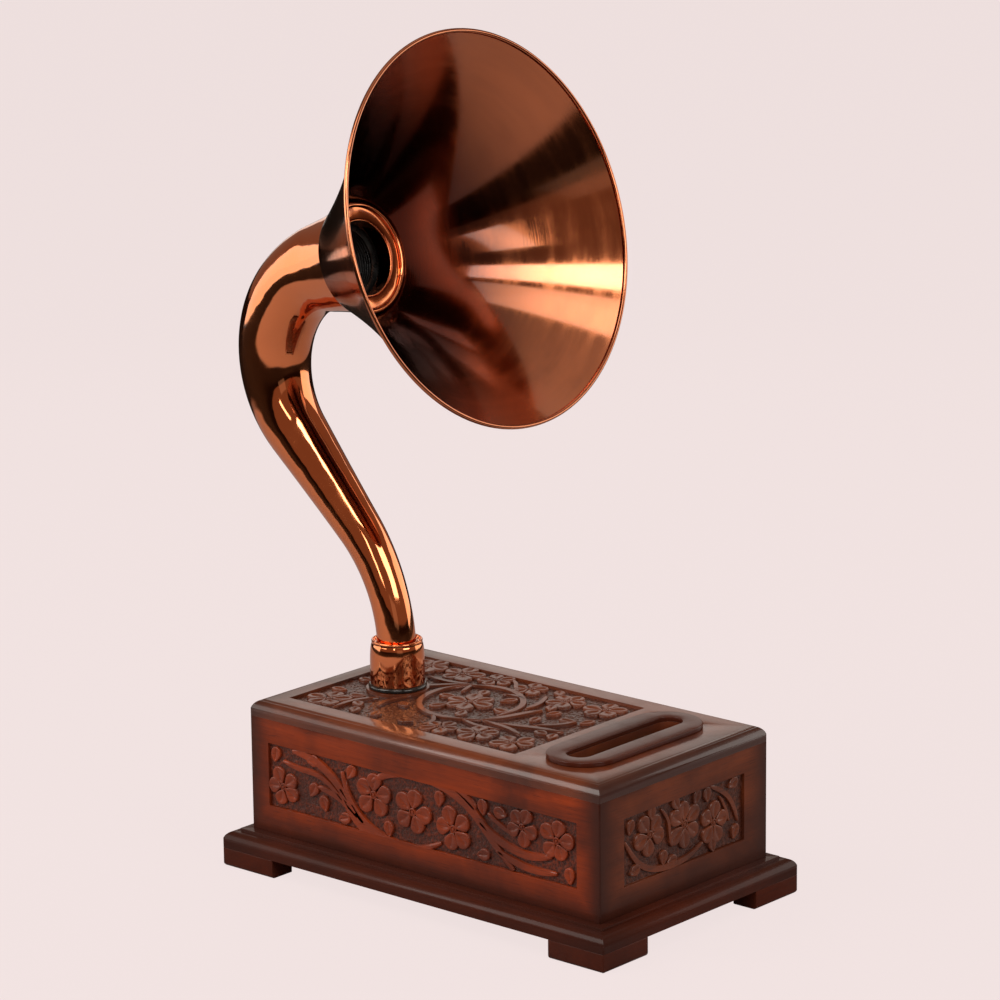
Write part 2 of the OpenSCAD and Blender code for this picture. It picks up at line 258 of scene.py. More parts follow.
def turned(name, outline, steps, place=Matrix()):
    """A piece turned about its Z axis; the outline is (radius, height) points, back to the first"""
    nothing_selected()
    bpy.ops.mesh.primitive_plane_add(size=MM, location=(outline[0][0], 0, outline[0][1]))
    piece = settle(christen(name))
    edit()
    bpy.ops.mesh.merge(type="CENTER")
    for here, there in zip(outline, outline[1:]):
        step = (there[0] - here[0], 0, there[1] - here[1])
        bpy.ops.mesh.extrude_region_move(TRANSFORM_OT_translate={"value": step})
    bpy.ops.mesh.select_all(action="SELECT")
    bpy.ops.mesh.spin(steps=steps, angle=math.tau, center=(0, 0, 0), axis=(0, 0, 1))
    bpy.ops.mesh.select_all(action="SELECT")
    bpy.ops.mesh.remove_doubles(threshold=1e-6)
    bpy.ops.mesh.normals_make_consistent(inside=False)
    bpy.ops.object.mode_set(mode="OBJECT")
    settle(piece, place)
    return smooth(piece)


def arc(centre, radius, start, end, count):
    """Points (radius, height) on an arc, angles in degrees from outwards towards up"""
    angles = [math.radians(start + (end - start) * i / count) for i in range(count + 1)]
    return [(centre[0] + radius * math.cos(a), centre[1] + radius * math.sin(a)) for a in angles]


def eased(name, nodes, width, angle=40):
    """Copies CAD nodes as one piece with its sharp edges eased"""
    copies = [copy_of(NODES[n], n + "_copy") for n in nodes]
    for twin in copies:
        twin.parent = None
        for key in list(twin.keys()):
            del twin[key]
    piece = joined(copies, name)
    edit()
    bpy.ops.mesh.remove_doubles(threshold=2e-6)
    bpy.ops.mesh.dissolve_limited(angle_limit=math.radians(0.5))
    bpy.ops.object.mode_set(mode="OBJECT")
    finish_modifier(piece, "BEVEL", width=width, segments=3, limit_method="ANGLE",
                    angle_limit=math.radians(angle), use_clamp_overlap=True, harden_normals=False)
    finish_modifier(piece, "TRIANGULATE")
    smooth(piece, 30)
    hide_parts(*nodes)
    return piece


def give(piece, material, body):
    """Paints a piece and puts it on its body"""
    piece.data.materials.clear()
    piece.data.materials.append(material)
    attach(piece, body)
    return piece


def repaint(material, *nodes):
    """Gives CAD nodes that keep their own mesh this material"""
    for node in nodes:
        NODES[node].data.materials.clear()
        NODES[node].data.materials.append(material)


# ---------------------------------------------------------------- places worked out from the frame

def middle(node):
    """Centre of a node's box"""
    low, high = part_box(node)
    return (Vector(low) + Vector(high)) / 2


def round_seat(node):
    """Radius and height of an upright round node, and the matrix of its axis from its lower end"""
    low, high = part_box(node)
    axis = Matrix.Translation((0, (low[1] + high[1]) / 2, low[2]))
    return (high[0] - low[0]) / 2, high[2] - low[2], axis


def bell_frame():
    """Matrix of the bell's axis: its small end at the origin, its mouth towards +Z"""
    tilt = settings("horn_sizes").tilt
    outwards = Vector((0, -math.cos(tilt), math.sin(tilt)))
    seat = middle("bell_washer") + 0.2 * MM * outwards
    return Matrix.Translation(seat) @ Matrix.Rotation(math.pi / 2 - tilt, 4, "X")


def bell_radius(s):
    """Outer radius of the bell at the distance s from its small end"""
    sizes = settings("horn_sizes")
    low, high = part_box("bell")
    mouth = (high[0] - low[0]) / 2
    curve = (mouth - sizes.throat_radius - sizes.flare * sizes.bell_depth) / sizes.bell_depth ** 2
    return sizes.throat_radius + sizes.flare * s + curve * s * s


def ease(u):
    """A smooth step from 0 to 1"""
    u = min(max(u, 0), 1)
    return u * u * (3 - 2 * u)


class NeckPath:
    """Centreline of the neck, in the plane X = 0: a bend, a straight run, a bend back and a short run"""

    def __init__(self):
        sizes = settings("horn_sizes")
        self.low, self.high = sizes.low_bend, sizes.high_bend
        self.lean, self.end = sizes.lean, -(math.pi / 2 - sizes.tilt)
        collar = middle("collar")
        self.start = Vector((collar.y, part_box("neck_spigot")[1][2]))
        finish = bell_frame().translation
        self.first_arc = self.low * self.lean
        self.second_arc = self.high * (self.lean - self.end)
        self.p1 = self.start + self.low * Vector((1 - math.cos(self.lean), math.sin(self.lean)))
        self.turn = self.high * Vector((math.cos(self.end) - math.cos(self.lean),
                                        math.sin(self.lean) - math.sin(self.end)))
        gap = Vector((finish.y, finish.z)) - self.p1 - self.turn
        share = math.sin(self.lean - self.end)
        self.run = (gap.x * math.cos(self.end) - gap.y * math.sin(self.end)) / share
        last = (gap.y * math.sin(self.lean) - gap.x * math.cos(self.lean)) / share
        self.length = self.first_arc + self.run + self.second_arc + last

    def heading(self, s):
        """Direction at the distance s, as an angle from upright"""
        if s < self.first_arc:
            return s / self.low
        s -= self.first_arc + self.run
        if s < 0:
            return self.lean
        return max(self.lean - s / self.high, self.end)

    def point(self, s):
        """Point of the centreline at the distance s"""
        turn = self.heading(s)
        if s < self.first_arc:
            y, z = self.start + self.low * Vector((1 - math.cos(turn), math.sin(turn)))
        elif s < self.first_arc + self.run:
            y, z = self.p1 + (s - self.first_arc) * Vector((math.sin(turn), math.cos(turn)))
        else:
            p2 = self.p1 + self.run * Vector((math.sin(self.lean), math.cos(self.lean)))
            y, z = p2 + self.high * Vector((math.cos(turn) - math.cos(self.lean),
                                            math.sin(self.lean) - math.sin(turn)))
            past = s - self.first_arc - self.run - self.second_arc
            if past > 0:
                y, z = Vector((y, z)) + past * Vector((math.sin(turn), math.cos(turn)))
        return Vector((0, y, z))

    def radius(self, s):
        """Outer radius of the tube at the distance s: a slow swell, and a flare at the end"""
        sizes = settings("horn_sizes")
        end = sizes.throat_radius - 1.5 * MM
        swell = ease((s - 17 * MM) / (286 * MM))
        flare = max(0, 1 - (self.length - s) / (63 * MM)) ** 2
        return (sizes.foot_radius + (sizes.bend_radius - sizes.foot_radius) * swell
                + (end - sizes.bend_radius) * flare)


# ---------------------------------------------------------------- node helpers

def feed(tree, socket, value):
    """Gives a socket a value, or links it to another node's output"""
    if isinstance(value, bpy.types.NodeSocket):
        tree.links.new(value, socket)
    else:
        socket.default_value = value


def put(tree, kind, links=None, **options):
    """Adds a shader node and feeds the sockets that links names"""
    node = tree.nodes.new("ShaderNode" + kind)
    for name, value in options.items():
        setattr(node, name, value)
    for name, value in (links or {}).items():
        feed(tree, node.inputs[name], value)
    return node


def blend(tree, share, first, second):
    """Mixes two colours and returns the output socket"""
    node = put(tree, "Mix", data_type="RGBA", blend_type="MIX", clamp_factor=True)
    for socket, value in zip((node.inputs[0], node.inputs[6], node.inputs[7]), (share, first, second)):
        feed(tree, socket, value)
    return node.outputs[2]


def blend_colour(first, second, share):
    """The plain colour that lies this share of the way from the first to the second"""
    return tuple(a + (b - a) * share for a, b in zip(first[:3], second[:3])) + (1,)


def dimmed(colour, share):
    """A plain colour with its brightness cut to this share"""
    return tuple(c * share for c in colour[:3]) + (1,)


def sums(tree, kind, *values):
    """A Math node on these values"""
    node = put(tree, "Math", operation=kind)
    for socket, value in zip(node.inputs, values):
        feed(tree, socket, value)
    return node.outputs[0]


def spread(tree, value, low, high, first=0.0, second=1.0, kind="SMOOTHSTEP"):
    """Maps a value from low..high to first..second"""
    node = put(tree, "MapRange", {"Value": value, "From Min": low, "From Max": high,
                                  "To Min": first, "To Max": second}, interpolation_type=kind)
    return node.outputs[0]


def noise(tree, place, scale, detail, roughness=0.5, distortion=0.0):
    """Value of a noise texture at a place"""
    node = put(tree, "TexNoise", {"Vector": place, "Scale": scale, "Detail": detail,
                                  "Roughness": roughness, "Distortion": distortion})
    return node.outputs[0]


def stretched(tree, place, scale):
    """Coordinates stretched by this scale along each axis"""
    return put(tree, "Mapping", {"Vector": place, "Scale": scale}).outputs[0]


def new_group(name, inputs, outputs):
    """A node group; inputs are (name, kind, default) and outputs (name, kind)"""
    tree = bpy.data.node_groups.new(name, "ShaderNodeTree")
    for label, kind, default in inputs:
        socket = tree.interface.new_socket(label, in_out="INPUT", socket_type="NodeSocket" + kind)
        if default is not None:
            socket.default_value = default
    for label, kind in outputs:
        tree.interface.new_socket(label, in_out="OUTPUT", socket_type="NodeSocket" + kind)
    return tree, tree.nodes.new("NodeGroupInput").outputs, tree.nodes.new("NodeGroupOutput").inputs


def use(tree, group, links):
    """Places a node group and gives its inputs their values"""
    node = tree.nodes.new("ShaderNodeGroup")
    node.node_tree = bpy.data.node_groups[group]
    for name, value in links.items():
        feed(tree, node.inputs[name], value)
    return node.outputs


def new_material(name, **sockets):
    """A material, its tree, its Principled shader with these socket values, and its coordinates"""
    material = bpy.data.materials.new(name)
    material.use_nodes = True
    tree = material.node_tree
    shader = tree.nodes["Principled BSDF"]
    for socket, value in sockets.items():
        shader.inputs[socket.replace("_", " ")].default_value = value
    return material, tree, shader, put(tree, "TexCoord").outputs["Object"]


def bump(tree, height, strength, distance, shader, below=None):
    """Feeds a Bump node into the shader's normal; below is a normal to build on"""
    node = put(tree, "Bump", {"Height": height, "Strength": strength, "Distance": distance})
    if below is not None:
        tree.links.new(below, node.inputs["Normal"])
    tree.links.new(node.outputs[0], shader.inputs["Normal"])
    return node.outputs[0]


# ---------------------------------------------------------------- shared effects

def make_wood_grain():
    """Long fibres, slow bands and pores, running along X of the vector that comes in"""
    tree, given, made = new_group(
        "Wood grain",
        [("Vector", "Vector", None), ("Early", "Color", (0.2, 0.04, 0.01, 1)),
         ("Late", "Color", (0.05, 0.01, 0.005, 1)), ("Contrast", "Float", 0.5)],
        [("Color", "Color"), ("Height", "Float"), ("Mask", "Float")])
    place = given["Vector"]
    bands = noise(tree, stretched(tree, place, (4, 42, 42)), 1.0, 5.0, 0.55, 0.9)
    band = spread(tree, bands, 0.35, 0.68)
    fibres = noise(tree, stretched(tree, place, (30, 900, 900)), 1.0, 3.0, 0.6)
    fibre = spread(tree, fibres, 0.3, 0.7)
    pores = noise(tree, stretched(tree, place, (70, 1500, 1500)), 1.0, 1.0)
    mask = sums(tree, "ADD", sums(tree, "MULTIPLY", band, 0.65), sums(tree, "MULTIPLY", fibre, 0.35))
    share = sums(tree, "MULTIPLY", mask, given["Contrast"])
    colour = blend(tree, share, given["Early"], given["Late"])
    dark = spread(tree, pores, 0.62, 0.72, 0.0, 0.55)
    tree.links.new(blend(tree, dark, colour, given["Late"]), made["Color"])
    tree.links.new(sums(tree, "SUBTRACT", fibre, sums(tree, "MULTIPLY", dark, 0.8)), made["Height"])
    tree.links.new(mask, made["Mask"])


def make_smoke():
    """Soft cloudy patches, as sprayed shading leaves on lacquered wood or copper"""
    tree, given, made = new_group(
        "Smoke", [("Vector", "Vector", None), ("Scale", "Float", 14.0), ("Cover", "Float", 0.5)],
        [("Mask", "Float")])
    clouds = noise(tree, given["Vector"], given["Scale"], 4.0, 0.6, 0.4)
    low = sums(tree, "SUBTRACT", 0.66, sums(tree, "MULTIPLY", given["Cover"], 0.45))
    tree.links.new(spread(tree, clouds, low, sums(tree, "ADD", low, 0.28)), made["Mask"])


def make_handling():
    """Faint smears and dust specks that vary a gloss"""
    tree, given, made = new_group(
        "Handling", [("Vector", "Vector", None), ("Smear", "Float", 0.5), ("Specks", "Float", 0.3)],
        [("Mask", "Float"), ("Height", "Float")])
    slow = noise(tree, given["Vector"], 38.0, 5.0, 0.65, 0.5)
    speck = put(tree, "TexVoronoi", {"Vector": given["Vector"], "Scale": 260.0})
    dot = spread(tree, speck.outputs["Distance"], 0.0, 0.16, 1.0, 0.0)
    smear = sums(tree, "MULTIPLY", spread(tree, slow, 0.42, 0.7), given["Smear"])
    mask = sums(tree, "MAXIMUM", smear, sums(tree, "MULTIPLY", dot, given["Specks"]))
    tree.links.new(mask, made["Mask"])
    tree.links.new(slow, made["Height"])


def make_spun_rings():
    """Fine rings around the Z axis of the vector that comes in, as spinning leaves on sheet metal"""
    tree, given, made = new_group(
        "Spun rings", [("Vector", "Vector", None), ("Pitch", "Float", 900.0), ("Breaks", "Float", 0.35)],
        [("Height", "Float"), ("Mask", "Float")])
    parts = put(tree, "SeparateXYZ", {"Vector": given["Vector"]})
    turn = sums(tree, "ARCTAN2", parts.outputs[1], parts.outputs[0])
    around = put(tree, "CombineXYZ", {"X": sums(tree, "MULTIPLY", turn, given["Breaks"]),
                                      "Y": sums(tree, "MULTIPLY", parts.outputs[2], given["Pitch"])})
    coarse = put(tree, "CombineXYZ", {"X": sums(tree, "MULTIPLY", turn, 1.3),
                                      "Y": sums(tree, "MULTIPLY", parts.outputs[2], 120.0)})
    tree.links.new(noise(tree, around.outputs[0], 1.0, 4.0, 0.7), made["Height"])
    bands = noise(tree, coarse.outputs[0], 1.0, 3.0, 0.6)
    tree.links.new(spread(tree, bands, 0.35, 0.7), made["Mask"])


# ---------------------------------------------------------------- materials

def grained(tree, place, turn, early, late, contrast):
    """The wood grain of a board whose fibres lie this turn from X"""
    fibres = put(tree, "Mapping", {"Vector": place, "Rotation": turn}).outputs[0]
    return use(tree, "Wood grain", {"Vector": fibres, "Early": early, "Late": late,
                                    "Contrast": contrast})


def smoked(tree, place, scale, cover, share, colour, smoke):
    """A colour clouded by patches of smoke; share is how much of it they cover at most"""
    patches = use(tree, "Smoke", {"Vector": place, "Scale": scale, "Cover": cover})["Mask"]
    return blend(tree, sums(tree, "MULTIPLY", patches, share), colour, smoke)


def handled(tree, shader, marks, gloss, dull, strength, distance, below=None):
    """Roughness between gloss and dull where hands left marks, with a faint bump; returns its normal"""
    feed(tree, shader.inputs["Roughness"], spread(tree, marks["Mask"], 0, 1, gloss, dull, "LINEAR"))
    return bump(tree, marks["Height"], strength, distance, shader, below)


def lacquered(name, early, late, along, shading=None, coat=0.32):
    """Lacquered wood: grain along an axis, with painted shade darkening it where shading(tree, place)
    says
    """
    material, tree, shader, place = new_material(
        name, Coat_Weight=coat, Coat_Roughness=0.1, Coat_IOR=1.5, Specular_IOR_Level=0.5 * coat)
    turn = {"X": (0, 0, 0), "Y": (0, 0, math.pi / 2)}[along]
    grain = grained(tree, place, turn, early, late, 0.6)
    dark = settings("wood_look").dark
    colour = smoked(tree, place, 15.0, 0.5, 0.7, grain["Color"], dark)
    if shading:
        # Painted shade: the colour is darkened towards dark wood where the shading says
        colour = blend(tree, shading(tree, place), colour, dark)
    feed(tree, shader.inputs["Base Color"], colour)
    marks = use(tree, "Handling", {"Vector": place, "Smear": 0.5, "Specks": 0.4})
    soft = handled(tree, shader, marks, 0.32, 0.5, 0.25, 0.15 * MM)
    bump(tree, grain["Height"], 0.35, 0.04 * MM, shader, soft)
    return material


def painted_edge_shade(ranges):
    """Painted shade that darkens towards limits; ranges holds (axis, inner, outer) in metres"""
    def shading(tree, place):
        parts = put(tree, "SeparateXYZ", {"Vector": place})
        wobble = noise(tree, place, 30.0, 4.0, 0.6)
        shift = spread(tree, wobble, 0.2, 0.8, -4 * MM, 4 * MM, "LINEAR")
        total = None
        for axis, inner, outer in ranges:
            edge = spread(tree, sums(tree, "ADD", parts.outputs["XYZ".index(axis)], shift), inner, outer)
            total = edge if total is None else sums(tree, "MAXIMUM", total, edge)
        return sums(tree, "MULTIPLY", total, 0.95)
    return shading


def corner_ranges(low, high, reach):
    """Ranges for painted_edge_shade that darken both ends of a box along X and Y"""
    return [("X", high[0] - reach, high[0]), ("X", low[0] + reach, low[0]),
            ("Y", high[1] - reach, high[1]), ("Y", low[1] + reach, low[1])]


def carved(name, early, late, high, low, axis):
    """Lacquered carving: a stippled ground darkened by painted shade that grows with depth, lighter on
    the faces that stand at the board's surface
    """
    material, tree, shader, place = new_material(
        name, Coat_Weight=0.34, Coat_Roughness=0.12, Coat_IOR=1.5, Specular_IOR_Level=0.2)
    turn = {"X": (0, 0, math.pi / 2), "Y": (0, 0, 0), "Z": (0, 0, math.pi / 2)}[axis]
    grain = grained(tree, place, turn, early, late, 0.5)
    parts = put(tree, "SeparateXYZ", {"Vector": place})
    depth = spread(tree, parts.outputs["XYZ".index(axis)], low, high)
    dark = settings("wood_look").dark
    colour = smoked(tree, place, 18.0, 0.5, 0.6, grain["Color"], dark)
    # Painted shade: the deeper a face lies in the carving, the more it is darkened towards dark wood
    colour = blend(tree, sums(tree, "MULTIPLY", depth, 0.96), dark, colour)
    feed(tree, shader.inputs["Base Color"], colour)
    punch = put(tree, "TexVoronoi", {"Vector": place, "Scale": 900.0})
    ground = sums(tree, "MULTIPLY", punch.outputs["Distance"], sums(tree, "SUBTRACT", 1.0, depth))
    marks = use(tree, "Handling", {"Vector": place, "Smear": 0.5, "Specks": 0.4})
    soft = handled(tree, shader, marks, 0.34, 0.52, 0.4, 0.25 * MM)
    bump(tree, ground, 0.8, 0.5 * MM, shader, soft)
    return material


def bare_wood():
    """Unfinished wood, as inside the box"""
    look = settings("wood_look")
    material, tree, shader, place = new_material("Bare wood", Specular_IOR_Level=0.3)
    grain = grained(tree, place, (0, 0, math.pi / 2), look.bare, (0.16, 0.07, 0.03, 1), 0.7)
    feed(tree, shader.inputs["Base Color"], grain["Color"])
    feed(tree, shader.inputs["Roughness"], spread(tree, grain["Mask"], 0, 1, 0.65, 0.85, "LINEAR"))
    bump(tree, grain["Height"], 0.5, 0.08 * MM, shader)
    return material


def polished_copper():
    """Hand-polished copper under clear lacquer, gently uneven; made once and shared"""
    name = "Polished copper"
    if name in bpy.data.materials:
        return bpy.data.materials[name]
    look = settings("copper_look")
    material, tree, shader, place = new_material(
        name, Metallic=1.0, Coat_Weight=0.3, Coat_Roughness=0.03, Coat_IOR=1.5)
    feed(tree, shader.inputs["Base Color"], smoked(tree, place, 16.0, 0.45, 0.4, look.bright, look.deep))
    marks = use(tree, "Handling", {"Vector": place, "Smear": 0.6, "Specks": 0.35})
    soft = bump(tree, noise(tree, place, 30.0, 2.0, 0.45), 0.6, 1.6 * MM, shader)
    handled(tree, shader, marks, 0.06, 0.16, 0.2, 0.08 * MM, soft)
    return material


def spun_copper():
    """Spun copper under lacquer: rings round the bell's axis, with painted shade darkening it towards
    the throat
    """
    look = settings("copper_look")
    material, tree, shader, place = new_material(
        "Spun copper", Metallic=1.0, Coat_Weight=0.5, Coat_Roughness=0.06, Coat_IOR=1.5)
    axis = bell_frame().inverted()
    here = put(tree, "Mapping", {"Vector": place, "Rotation": axis.to_euler(),
                                 "Location": axis.translation}, vector_type="POINT").outputs[0]
    rings = use(tree, "Spun rings", {"Vector": here, "Pitch": 1400.0, "Breaks": 0.5})
    height = put(tree, "SeparateXYZ", {"Vector": here}).outputs[2]
    depth = settings("horn_sizes").bell_depth
    # Painted shade: the bell darkens towards its deep throat, where shade falls inside it
    throat = spread(tree, height, 0.3 * depth, 0.92 * depth, 1.0, 0.0)
    colour = smoked(tree, place, 9.0, 0.5, 0.35, look.deep, look.smoke)
    colour = blend(tree, sums(tree, "MULTIPLY", rings["Mask"], 0.18), colour, look.bright)
    colour = blend(tree, sums(tree, "MULTIPLY", throat, 0.98), colour, look.smoke)
    feed(tree, shader.inputs["Base Color"], colour)
    marks = use(tree, "Handling", {"Vector": place, "Smear": 0.5, "Specks": 0.3})
    rough = sums(tree, "ADD", spread(tree, marks["Mask"], 0, 1, 0.08, 0.15, "LINEAR"),
                 sums(tree, "MULTIPLY", rings["Mask"], 0.08))
    feed(tree, shader.inputs["Roughness"], rough)
    bump(tree, rings["Height"], 0.35, 0.06 * MM, shader)
    return material


def worn_surface(name, fresh, worn, gloss, unevenness, **sockets):
    """A plain surface that hands have marked: its colour goes from fresh to worn"""
    material, tree, shader, place = new_material(name, **sockets)
    marks = use(tree, "Handling", {"Vector": place, "Smear": 0.8, "Specks": 0.5})
    feed(tree, shader.inputs["Base Color"], blend(tree, marks["Mask"], fresh, worn))
    handled(tree, shader, marks, gloss, gloss + 0.2, 0.3, unevenness)
    return material


def black_rubber(name, gloss):
    """Black rubber or plastic with handling marks"""
    return worn_surface(name, (0.006, 0.006, 0.006, 1), (0.022, 0.021, 0.02, 1), gloss, 0.1 * MM,
                        Specular_IOR_Level=0.5)


def plain_metal(name, colour, gloss):
    """A small metal fitting, a little dulled"""
    return worn_surface(name, colour, dimmed(colour, 0.7), gloss, 0.05 * MM, Metallic=1.0)


def floor_paint():
    """Pale floor: evenly bright to the eye, and a lit patch round the object for what mirrors it"""
    look = settings("stage_settings")
    material, tree, shader, place = new_material(
        "Pale floor", Roughness=0.9, Specular_IOR_Level=0.1, Emission_Strength=look.floor_glow)
    seen = put(tree, "LightPath").outputs["Is Camera Ray"]
    reach = put(tree, "VectorMath", {0: place}, operation="LENGTH").outputs["Value"]
    lit = spread(tree, reach, look.floor_reach, look.floor_reach + 0.1, 1.0, 0.0)
    black = (0.012, 0.008, 0.006, 1)
    paper = blend(tree, lit, black, dimmed(look.backdrop, 0.45))
    faint = dimmed(look.backdrop, 1 - look.floor_glow)
    mottled = blend(tree, noise(tree, place, 3.0, 2.0), faint, dimmed(faint, 0.97))
    feed(tree, shader.inputs["Base Color"], blend(tree, seen, paper, mottled))
    feed(tree, shader.inputs["Emission Color"], blend(tree, seen, (0, 0, 0, 1), look.backdrop))
    return material


# ---------------------------------------------------------------- carving

def make_lobe(name, radius, centre, steps):
    """A low round relief: a disc at centre, raised by steps of (rise, scale along X, scale along Y)"""
    nothing_selected()
    bpy.ops.mesh.primitive_circle_add(vertices=20, radius=radius, fill_type="NGON",
                                      location=(centre, 0, -0.3))
    lobe = settle(christen(name))
    edit("FACE")
    for rise, along, across in steps:
        bpy.ops.mesh.extrude_region_move(TRANSFORM_OT_translate={"value": (0, 0, rise)})
        bpy.ops.transform.resize(value=(along, across, 1), center_override=(centre, 0, 0))
    bpy.ops.object.mode_set(mode="OBJECT")
    return lobe


def make_petal(name):
    """One petal from (0, 0) to (1, 0), one unit high: flat, with a groove along its middle"""
    wall = ((1.05, 1, 0.98), (0.17, 0.97, 0.95), (0.06, 0.94, 0.9))
    groove = ((-0.01, 0.84, 0.55), (-0.14, 0.84, 0.4), (-0.10, 0.8, 0.3))
    return make_lobe(name, 0.5, 0.5, wall + groove)


def make_eye(name):
    """The ringed middle of a flower, one unit in radius and height"""
    ring = ((1.2, 0.97, 0.97), (0.08, 0.88, 0.88), (0, 0.8, 0.8), (-0.22, 0.9, 0.9))
    dot = ((0, 0.7, 0.7), (0.2, 0.85, 0.85), (0.04, 0.6, 0.6))
    return make_lobe(name, 1, 0, ring + dot)


def shape_plan(piece, width):
    """Narrows a lobe: width(x) is the half width at the distance x from its foot"""
    for vertex in piece.data.vertices:
        vertex.co.y *= width(vertex.co.x)
    return piece


def make_vine(name, points, width, height):
    """A flat-topped stem along a smooth line through these points, thinner at its ends"""
    nothing_selected()
    bpy.ops.curve.primitive_nurbs_path_add()
    stem = christen(name)
    spline = stem.data.splines[0]
    spline.points.add(max(0, len(points) + 2 - len(spline.points)))
    route = [points[0], *points, points[-1]]
    while len(route) < len(spline.points):
        route.append(points[-1])
    last = len(route) - 1
    for i, (control, (u, v)) in enumerate(zip(spline.points, route)):
        control.co = (u, v, 0, 1)
        control.radius = 0.35 + 0.65 * min(1, 3 * min(i, last - i) / last)
    spline.order_u = 4
    spline.use_endpoint_u = True
    stem.data.resolution_u = 8
    stem.data.bevel_resolution = 3
    stem.data.bevel_depth = width / 2
    stem.data.use_fill_caps = True
    pick(stem)
    bpy.ops.object.convert(target="MESH")
    stem = christen(name)
    top = 0.96 * height
    for vertex in stem.data.vertices:
        raised = vertex.co.z * 2.2 * height / width + 0.35 * height
        vertex.co.z = max(min(raised, top), -0.3 * height)
    return stem


def placed_copy(model, name, u, v, length, width, height, turn):
    """Copies a unit lobe to (u, v), turned and stretched"""
    twin = copy_of(model, name)
    twin.matrix_world = (Matrix.Translation((u, v, 0)) @ Matrix.Rotation(turn, 4, "Z")
                         @ Matrix.Diagonal((length, width, height, 1)))
    return twin


def petal_width(x):
    """Half width of a petal at the distance x from its foot: narrow there, then round"""
    return 0.5 + 0.5 * ease(x / 0.6)


def field_place(axis, side, floor):
    """Matrix that lays a field, drawn in X and Y, with its floor at this height along an axis"""
    low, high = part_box("top_board")
    mid_y = (low[1] + high[1]) / 2
    upright = (0, 1, 0, 62.6 * MM)
    rows = {"X": ((0, 0, side, floor), (side, 0, 0, mid_y + 1.5 * MM), upright),
            "Y": ((-side, 0, 0, 0), (0, 0, side, floor), upright),
            "Z": ((1, 0, 0, 0), (0, 1, 0, mid_y), (0, 0, 1, floor))}[axis]
    return Matrix((*rows, (0, 0, 0, 1)))


class Carver:
    """Collects the relief of one field, in millimetres, then lays it on its board"""

    def __init__(self, name):
        self.name = name
        self.height = settings("carving_sizes").depth * 0.97
        self.pieces = []
        self.petal = shape_plan(make_petal("petal_model"), petal_width)
        self.eye = make_eye("eye_model")

    def petal_from(self, u, v, length, width, turn):
        """A petal whose foot is at (u, v)"""
        self.pieces.append(placed_copy(self.petal, self.name + "_lobe", u * MM, v * MM, length * MM,
                                       width * MM, self.height, math.radians(turn)))

    def bud_at(self, u, v, length, turn, width):
        """A single round petal centred on (u, v)"""
        a = math.radians(turn)
        self.petal_from(u - math.cos(a) * length / 2, v - math.sin(a) * length / 2, length,
                        length * width, turn)

    def flower(self, u, v, radius, turn, petals=5):
        """A flower with round petals, a little uneven, and a ringed eye"""
        inner = 0.16 * radius
        width = radius * (0.86 if petals == 5 else 0.74)
        step = 360 / petals
        for k in range(petals):
            around = turn + k * step + 5 * math.sin(2.3 * k + u)
            length = radius * (0.86 + 0.06 * math.sin(1.7 * k + v))
            a = math.radians(around)
            self.petal_from(u + inner * math.cos(a), v + inner * math.sin(a), length, width, around)
        eye = 0.19 * radius * MM
        self.pieces.append(placed_copy(self.eye, self.name + "_eye", u * MM, v * MM, eye, eye,
                                       self.height, 0))

    def vine(self, width, *points):
        self.pieces.append(make_vine(self.name + "_vine", [(u * MM, v * MM) for u, v in points],
                                     width * MM, self.height))

    def ground(self, low_u, high_u, low_v, high_v):
        """The punched ground between the flowers"""
        sizes = settings("carving_sizes")
        width, height = (high_u - low_u) * MM, (high_v - low_v) * MM
        middle_u, middle_v = (low_u + high_u) / 2 * MM, (low_v + high_v) / 2 * MM
        cell = 0.75 * MM
        nothing_selected()
        bpy.ops.mesh.primitive_grid_add(
            x_subdivisions=int(width / cell), y_subdivisions=int(height / cell), size=1,
            location=(middle_u, middle_v, 0.05 * MM))
        floor = christen(self.name + "_ground")
        floor.scale = (width, height, 1)
        settle(floor)
        texture = bpy.data.textures.new(self.name + "_punch", "VORONOI")
        texture.noise_scale = sizes.pitch
        texture.noise_intensity = 1.2
        finish_modifier(floor, "DISPLACE", texture=texture, strength=sizes.pit, mid_level=0.0,
                        texture_coords="LOCAL", direction="Z")
        self.pieces.append(floor)

    def lay(self, place, material):
        """Joins the relief, puts it in its field and paints it"""
        for piece in self.pieces:
            settle(piece)
        whole = joined(self.pieces, self.name)
        settle(whole, place)
        smooth(whole, 50)
        for model in (self.petal, self.eye):
            bpy.data.objects.remove(model)
        return give(whole, material, "cabinet")


